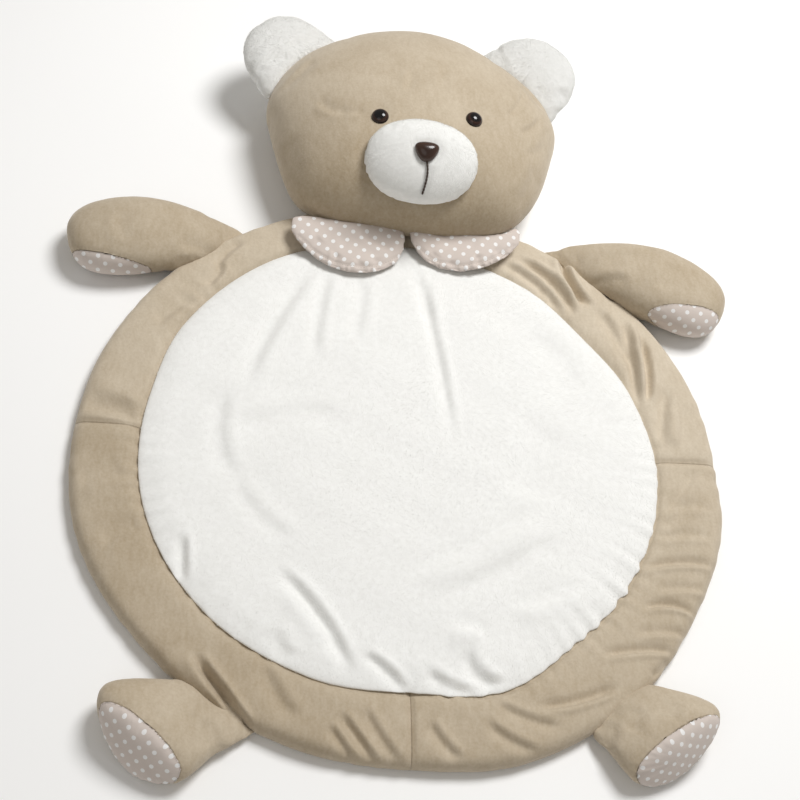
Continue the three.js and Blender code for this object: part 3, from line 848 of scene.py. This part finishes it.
EYE_RADIUS = 11.5 * MM
EYE_DOME = 8 * MM
EYE_BEAD = eye_bead()
circle = [
    (EYE_RADIUS * math.cos(t), EYE_RADIUS * math.sin(t))
    for t in np.linspace(0, 2 * math.pi, 40)[:-1]
]
for side, centre, facing, lean in (
    ("left", (-53 * MM, 429 * MM, 150 * MM), -45, 14),
    ("right", (73 * MM, 443 * MM, 149.5 * MM), 61, 13),
):
    bead(
        "eye_" + side + "_bead", "eye_" + side, circle, centre, facing, lean, EYE_DOME, EYE_BEAD)

NOSE_HALF = (14.5 * MM, 13 * MM)
NOSE_SQUARENESS = 0.8
NOSE_TAPER = 0.36
triangle = []
for t in np.linspace(0, 2 * math.pi, 49)[:-1]:
    u = math.copysign(abs(math.cos(t)) ** NOSE_SQUARENESS, math.cos(t)) * NOSE_HALF[0]
    v = math.copysign(abs(math.sin(t)) ** NOSE_SQUARENESS, math.sin(t)) * NOSE_HALF[1]
    triangle.append((u * (1 + NOSE_TAPER * v / NOSE_HALF[1]), v))
NOSE_AT = (6 * MM, 362 * MM, 164 * MM)
NOSE_LEAN = 30
NOSE_DOME = 9 * MM
bead("nose_bead", "nose", triangle, NOSE_AT, 0, NOSE_LEAN, NOSE_DOME, nose_plastic())

# Mouth thread
# A thick brown thread sewn from under the nose down the muzzle in short back stitches. It pulls the plush
# in a little along its line.

# Points from the nose down, in mm
MOUTH_PATH = (
    (7.3, 350.0, 157.6), (8.8, 343.0, 152.6), (8.9, 335.6, 145.8),
    (7.7, 329.0, 137.4), (6.2, 324.4, 128.4),
)


def stitch_tree():
    """Even stitches along a line, each a short thread that lies on the cloth."""
    tree, given = new_tree(
        "stitches", (("Spacing", "NodeSocketFloat"), ("Thread size", "NodeSocketVector")))
    line = add_node(tree, "GeometryNodeMeshToCurve", {"Mesh": given["Geometry"]}).outputs["Curve"]
    evenly = add_node(
        tree, "GeometryNodeCurveToPoints", {"Curve": line, "Length": given["Spacing"]}, mode="LENGTH")
    ball = add_node(tree, "GeometryNodeMeshUVSphere", {"Segments": 8, "Rings": 6, "Radius": 1.0})
    drawn = add_node(
        tree, "GeometryNodeTransform", {"Geometry": ball.outputs["Mesh"], "Scale": given["Thread size"]})
    align = add_node(
        tree, "FunctionNodeAlignRotationToVector", {"Vector": evenly.outputs["Tangent"]}, axis="X")
    sew = add_node(tree, "GeometryNodeInstanceOnPoints", {
        "Points": evenly.outputs["Points"], "Instance": drawn.outputs["Geometry"],
        "Rotation": align.outputs["Rotation"],
    })
    close_tree(tree, given, sew.outputs["Instances"])
    return tree


STITCHES = stitch_tree()


def thread(name, colour, roughness):
    material, tree, surface = shader(name)
    ply = noise(tree, scale=1400, detail=2)
    shadow = tuple(0.75 * part for part in colour)
    feed(tree, surface, {
        "Base Color": colour_along(tree, ply, (0.35, shadow), (0.65, colour)),
        "Normal": bumped(tree, (ply, 0.4, 0.2 * MM)), "Roughness": roughness,
    })
    return material


def sewn_line(name, points, spacing, size, material):
    """Stitches of one size along a line of points."""
    mesh = bpy.data.meshes.new(name)
    mesh.from_pydata([tuple(p) for p in points], [(k, k + 1) for k in range(len(points) - 1)], [])
    line = linked(name + "_path", mesh)
    stitches = from_tree(name, line, STITCHES, spacing=spacing, thread_size=size, material=material)
    bpy.data.objects.remove(line)
    stitches.data.shade_smooth()
    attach(stitches, "root")
    return stitches


BROWN_THREAD = thread("brown thread", (0.060, 0.040, 0.030), roughness=0.75)
mouth = sewn_line(
    "mouth_thread", smooth_path(np.array(MOUTH_PATH) * MM, per_span=6), spacing=4.2 * MM,
    size=(3.0 * MM, 1.5 * MM, 1.5 * MM), material=BROWN_THREAD)
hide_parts("mouth_stitch")

# Collar
# Two half-moon leaves of dotted cotton, bagged out and topstitched near the edge. Their straight sides
# are caught under the chin, and they lie on the border.
DOT_CELL = 18.8 * MM
DOT_RADIUS = 2.75 * MM
# Softness of a dot's edge, as a share of the cell
DOT_BLUR = 0.012
DOT_WHITE = (0.84, 0.83, 0.82)
COTTON_BEIGE = (0.625, 0.55, 0.50)


def dotted_cotton():
    """Plain weave printed with rows of white dots, every other row shifted by half a cell."""
    material, tree, surface = shader("dotted cotton")
    printed = add_node(tree, "ShaderNodeUVMap", uv_map="print").outputs["UV"]
    reaches = []
    for shift in (0.0, 0.5):
        moved = vector_math(tree, "ADD", printed, (shift, shift, 0))["Vector"]
        cell = vector_math(tree, "FRACTION", moved)["Vector"]
        centred = vector_math(tree, "SUBTRACT", cell, (0.5, 0.5, 0))["Vector"]
        reaches.append(vector_math(tree, "LENGTH", centred)["Value"])
    nearest = add_node(tree, "ShaderNodeMath", dict(enumerate(reaches)), operation="MINIMUM")
    size = DOT_RADIUS / DOT_CELL
    weave = []
    for direction in ("X", "Y"):
        fed = {"Vector": printed, "Scale": 9.0, "Distortion": 0.6}
        wave = add_node(tree, "ShaderNodeTexWave", fed, bands_direction=direction)
        weave.append((wave.outputs["Fac"], 0.25, 0.15 * MM))
    slubs = noise(tree, scale=160, detail=3)
    feed(tree, surface, {
        "Base Color": colour_along(
            tree, nearest.outputs["Value"], (size - DOT_BLUR, DOT_WHITE), (size + DOT_BLUR, COTTON_BEIGE)),
        "Normal": bumped(tree, *weave, (slubs, 0.15, 0.6 * MM)),
        "Roughness": 0.85, "Sheen Weight": 0.12,
    })
    return material


DOTTED_COTTON = dotted_cotton()
STITCH_THREAD = thread("stitching thread", (0.60, 0.53, 0.47), roughness=0.7)


def printed_on(piece, across, up, shift, cell=DOT_CELL):
    """Lays the print flat on the piece, with its cells along two directions of the cloth."""
    mesh = piece.data
    layer = mesh.uv_layers.new(name="print")
    points = points_of(mesh)
    flat = np.column_stack((points @ np.array(across), points @ np.array(up))) / cell + shift
    corners = np.empty(len(mesh.loops), dtype=np.int32)
    mesh.loops.foreach_get("vertex_index", corners)
    layer.uv.foreach_set("vector", flat[corners].ravel())


TOPSTITCH_INSET = 6.5 * MM
EDGE_STATIONS = 70
EDGE_SMOOTHING = 7
COLLAR_RIPPLES = {
    "left": (
        (-134, 280, -118, 302, 2, 5, 2.2), (-104, 256, -94, 280, 2, 4, 3.0),
        (-66, 248, -62, 270, 1, 5, 2.4), (-34, 254, -42, 278, -1, 5, 2.2),
        (-98, 300, -40, 306, 4, 9, 1.8), (-16, 296, -66, 322, -6, 7, 3.0),
    ),
    "right": (
        (138, 298, 116, 312, -2, 5, 2.2), (100, 276, 94, 298, -2, 4, 3.0),
        (62, 266, 58, 288, 1, 5, 2.4), (26, 278, 38, 298, 1, 5, 2.2),
        (40, 322, 100, 318, 4, 9, 1.8), (14, 318, 56, 338, 6, 7, 3.0),
    ),
}


def on_top_of(piece, path):
    """Drops the points of a plan path onto the piece's upper face."""
    mesh = piece.data
    tree = BVHTree.FromPolygons([v.co for v in mesh.vertices], [f.vertices[:] for f in mesh.polygons])
    hits = [tree.ray_cast((x, y, 1.0), (0, 0, -1))[0] for x, y in path]
    return np.array([tuple(hit) for hit in hits if hit])


def lower_edge(piece, inset):
    """The piece's lower edge in plan, moved in by inset."""
    points = points_of(piece.data)
    stations = np.linspace(points[:, 0].min() + inset, points[:, 0].max() - inset, EDGE_STATIONS)
    edge = np.array([points[np.abs(points[:, 0] - x) < 2.5 * MM, 1].min() for x in stations])
    padded_edge = np.pad(edge, EDGE_SMOOTHING // 2, mode="edge")
    edge = np.convolve(padded_edge, np.full(EDGE_SMOOTHING, 1 / EDGE_SMOOTHING), mode="valid")
    slope = np.gradient(edge, stations)
    lean = inset / np.hypot(1, slope)
    return np.column_stack((stations - slope * lean, edge + lean))


def stitched_edge(piece, path):
    """Sinks the line of stitches and ruffles the cloth outside it."""
    points = points_of(piece.data)
    gaps = np.linalg.norm(points[:, None, :2] - path[None, :, :2], axis=2)
    nearest = gaps.argmin(1)
    reach = gaps.min(1)
    outside = points[:, 1] < path[nearest, 1]
    ruffle = np.sin(1.1 * nearest + 1.7 * np.sin(0.37 * nearest))
    relief = -1.3 * MM * bell(reach, 2.2 * MM)
    return relief + np.where(outside, 0.9 * MM * ruffle * np.clip(reach / (4 * MM), 0, 1), 0)


for side in SIDES:
    node = "collar_" + side
    leaf = cut_piece(node + "_cotton", ((node, (0, 0, 0)),), voxel=3 * MM)
    eased(leaf.data, rounds=8)
    refined(leaf)
    stitch_plan = lower_edge(leaf, TOPSTITCH_INSET)
    facing_up = np.clip(normals_of(leaf.data)[:, 2] * 2, 0, 1)
    pressed(leaf, plan_folds(leaf, COLLAR_RIPPLES[side]) + stitched_edge(leaf, stitch_plan) * facing_up)
    printed_on(leaf, across=(0.97, 0.22, 0), up=(-0.22, 0.97, 0), shift=(0.2, 0.1))
    dress(leaf, node, DOTTED_COTTON)
    sewn_line(
        node + "_topstitch", on_top_of(leaf, stitch_plan), spacing=3.6 * MM,
        size=(1.3 * MM, 0.4 * MM, 0.4 * MM), material=STITCH_THREAD)

# Arms and paw pads
# Stuffed velour tubes caught in the mat's outer seam and laid out flat. A pad of the dotted cotton is let
# into each near the tip, flush with the velour, and the seam between the two is drawn in.
PATCH_OVERLAP = 0.8 * MM
PATCH_REACH = 14 * MM
SEAM_RECESS = 0.05 * MM


def parted(limb, name, point, way, near, beyond):
    """The part of a limb behind or beyond a seam plane, near the patch, closed along the cut."""
    half = bmesh.new()
    half.from_mesh(limb.data)
    half.verts.ensure_lookup_table()
    if beyond:
        far = [vertex for vertex in half.verts if not near[vertex.index]]
        bmesh.ops.delete(half, geom=far, context="VERTS")
        region = half.faces[:]
    else:
        region = [face for face in half.faces if all(near[vertex.index] for vertex in face.verts)]
    edges = list(dict.fromkeys(edge for face in region for edge in face.edges))
    corners = list(dict.fromkeys(vertex for face in region for vertex in face.verts))
    recess = SEAM_RECESS if beyond else -SEAM_RECESS
    bmesh.ops.bisect_plane(
        half, geom=corners + edges + region, dist=0.05 * MM, plane_co=point + way * recess, plane_no=way,
        clear_inner=beyond, clear_outer=not beyond)
    rim = [edge for edge in half.edges if edge.is_boundary]
    bmesh.ops.holes_fill(half, edges=rim, sides=0)
    mesh = bpy.data.meshes.new(name)
    half.to_mesh(mesh)
    half.free()
    mesh.shade_smooth()
    return linked(name, mesh)


def seam_ditch(piece, point, way, middle, waves, depth):
    """The cloth drawn in along a seam plane, with gathers square to it round the middle."""
    points = points_of(piece.data)
    reach = np.abs((points - np.array(point)) @ np.array(way))
    side = np.array(way.orthogonal().normalized())
    other = np.cross(np.array(way), side)
    around = np.arctan2((points - middle) @ other, (points - middle) @ side)
    ditch = -0.8 * MM * bell(reach, 3.5 * MM)
    return ditch + depth * gathers(around, waves, wander=1.1) * fading(reach, 12 * MM)


def limb_and_patch(limb_node, patch_node, border_node, seam, folds, waves, depth):
    """A stuffed limb and the dotted patch let into it, made as one body and parted along their seam."""
    point = Vector(seam[0]) * MM
    way = Vector(seam[1]).normalized()
    whole = stuffed(
        limb_node + "_whole", limb_node, (border_node,), voxel=4.5 * MM, rounds=7, slack=0.02,
        cap=3 * MM, patch=((patch_node, -PATCH_OVERLAP * way),))
    pressed(whole, plan_folds(whole, folds))
    near = sewn_reach(whole.data, (patch_node,)) < PATCH_REACH
    limb = parted(whole, limb_node + "_velour", point, way, near, beyond=False)
    patch = parted(whole, patch_node + "_cotton", point, way, near, beyond=True)
    bpy.data.objects.remove(whole)
    middle = points_of(patch.data).mean(0)
    for piece in (limb, patch):
        pressed(piece, seam_ditch(piece, point, way, middle, waves, depth))
    return limb, patch


# A point on each seam in mm and the way its patch faces
PAD_SEAMS = {
    "left": ((-390, 244, 30), (-0.14, -0.94, -0.3)),
    "right": ((375, 238, 58), (0.0, -0.97, 0.24)),
}
ARM_FOLDS = {
    "left": (
        (-250, 268, -300, 262, 4, 7, 2.6), (-262, 300, -330, 306, 6, 8, 1.6),
        (-360, 250, -372, 300, -6, 8, 1.4),
    ),
    "right": (
        (246, 276, 300, 268, -4, 7, 3.0), (262, 306, 330, 306, -6, 8, 1.6),
        (330, 256, 352, 306, 6, 8, 1.8),
    ),
}
for side in SIDES:
    arm, pad = limb_and_patch(
        "arm_" + side, "paw_pad_" + side, "border_upper", PAD_SEAMS[side], ARM_FOLDS[side],
        waves=24, depth=0.4 * MM)
    lay_nap_and_painted_shade(arm, 0.42)
    dress(arm, "arm_" + side, BEIGE_VELOUR)
    printed_on(pad, across=(1.0, 0.0, 0.0), up=(0.0, 0.71, 0.71), shift=(0.1, 0.3))
    dress(pad, "paw_pad_" + side, DOTTED_COTTON)

# Feet and soles
# Stuffed velour feet caught in the mat's outer seam, turned outward. Each is closed by an oval sole of the
# dotted cotton, which the filling pushes into a shallow dome, and its seam gathers the velour a little.
SOLE_SEAMS = {
    "left": ((-291.7, -382.7, 32), (-0.417, -0.694, 0.588)),
    "right": ((305.1, -361.2, 32), (0.392, -0.708, 0.588)),
}
FOOT_FOLDS = {
    "left": (
        (-214, -350, -186, -402, 4, 7, 2.6), (-232, -346, -214, -392, -4, 8, 1.8),
        (-280, -346, -262, -370, 3, 8, 1.4),
    ),
    "right": (
        (232, -330, 208, -376, -4, 7, 2.6), (262, -318, 250, -352, 4, 8, 1.8),
        (300, -312, 292, -340, 3, 8, 1.4),
    ),
}
PRINT_TURN = math.radians(12)
SOLE_DOT_CELL = 16.6 * MM
for side in SIDES:
    foot, sole = limb_and_patch(
        "foot_" + side, "sole_" + side, "border_lower_" + side, SOLE_SEAMS[side], FOOT_FOLDS[side],
        waves=34, depth=0.5 * MM)
    lay_nap_and_painted_shade(foot, 0.48)
    dress(foot, "foot_" + side, BEIGE_VELOUR)
    way = Vector(SOLE_SEAMS[side][1]).normalized()
    across = Vector((-way[1], way[0], 0)).normalized()
    up = way.cross(across)
    along = across * math.cos(PRINT_TURN) + up * math.sin(PRINT_TURN)
    square = up * math.cos(PRINT_TURN) - across * math.sin(PRINT_TURN)
    printed_on(sole, along, square, shift=(0.35, 0.15), cell=SOLE_DOT_CELL)
    dress(sole, "sole_" + side, DOTTED_COTTON)

# Floor, light and camera
# A plain pale floor under soft light from above the head, with a weak fill from the other side. The camera
# looks down from the foot of the mat, a little turned.
CAMERA = {"azimuth": -14.7, "elevation": 58.1744, "roll": 15.793, "distance": 1.7, "lens": 61.886}
AIM = Vector((-0.0036, 0.0875, 0.0))
FLOOR_HALF = 9

floor_mesh = bpy.data.meshes.new("floor")
floor_corners = [(FLOOR_HALF * u, FLOOR_HALF * v, 0) for u, v in ((-1, -1), (1, -1), (1, 1), (-1, 1))]
floor_mesh.from_pydata(floor_corners, [], [(0, 1, 2, 3)])
floor = linked("floor", floor_mesh)
floor_paint, floor_tree, floor_surface = shader("pale floor")
floor_tone = noise(floor_tree, scale=1.5, detail=2)
floor_colour = colour_along(
    floor_tree, floor_tone, (0.3, (0.93, 0.93, 0.925)), (0.7, (0.95, 0.95, 0.945)))
feed(floor_tree, floor_surface, {"Base Color": floor_colour, "Roughness": 0.9})
floor_mesh.materials.append(floor_paint)

world = bpy.data.worlds.new("studio")
bpy.context.scene.world = world
world.use_nodes = True
sky = world.node_tree.nodes["Background"].inputs
feed(world.node_tree, sky, {"Color": (1.0, 0.965, 0.91, 1), "Strength": 0.31})


def soft_light(name, place, aim, size, power):
    lamp = bpy.data.lights.new(name, "AREA")
    lamp.shape = "DISK"
    lamp.size = size
    lamp.energy = power
    holder = linked(name, lamp)
    holder.location = place
    holder.rotation_euler = (Vector(aim) - Vector(place)).to_track_quat("-Z", "Y").to_euler()


soft_light("lamp over the head", place=(0.95, 1.05, 2.5), aim=(0, 0.05, 0), size=1.2, power=68)
soft_light("room fill", place=(-1.2, -1.6, 2.4), aim=(0, 0, 0), size=2.2, power=8)

azimuth = math.radians(CAMERA["azimuth"])
elevation = math.radians(CAMERA["elevation"])
roll = math.radians(CAMERA["roll"])
level = math.cos(elevation)
outward = Vector((math.sin(azimuth) * level, -math.cos(azimuth) * level, math.sin(elevation)))
stand = CAMERA["distance"] * outward
backward = (stand - AIM).normalized()
rightward = Vector((0, 0, 1)).cross(backward).normalized()
upward = backward.cross(rightward)
side_axis = rightward * math.cos(roll) + upward * math.sin(roll)
top_axis = upward * math.cos(roll) - rightward * math.sin(roll)
camera_data = bpy.data.cameras.new("camera")
camera_data.lens = CAMERA["lens"]
camera = linked("camera", camera_data)
facing = Matrix((side_axis, top_axis, backward)).transposed().to_4x4()
camera.matrix_world = Matrix.Translation(stand) @ facing
bpy.context.scene.camera = camera
bpy.context.scene.view_settings.view_transform = "Standard"
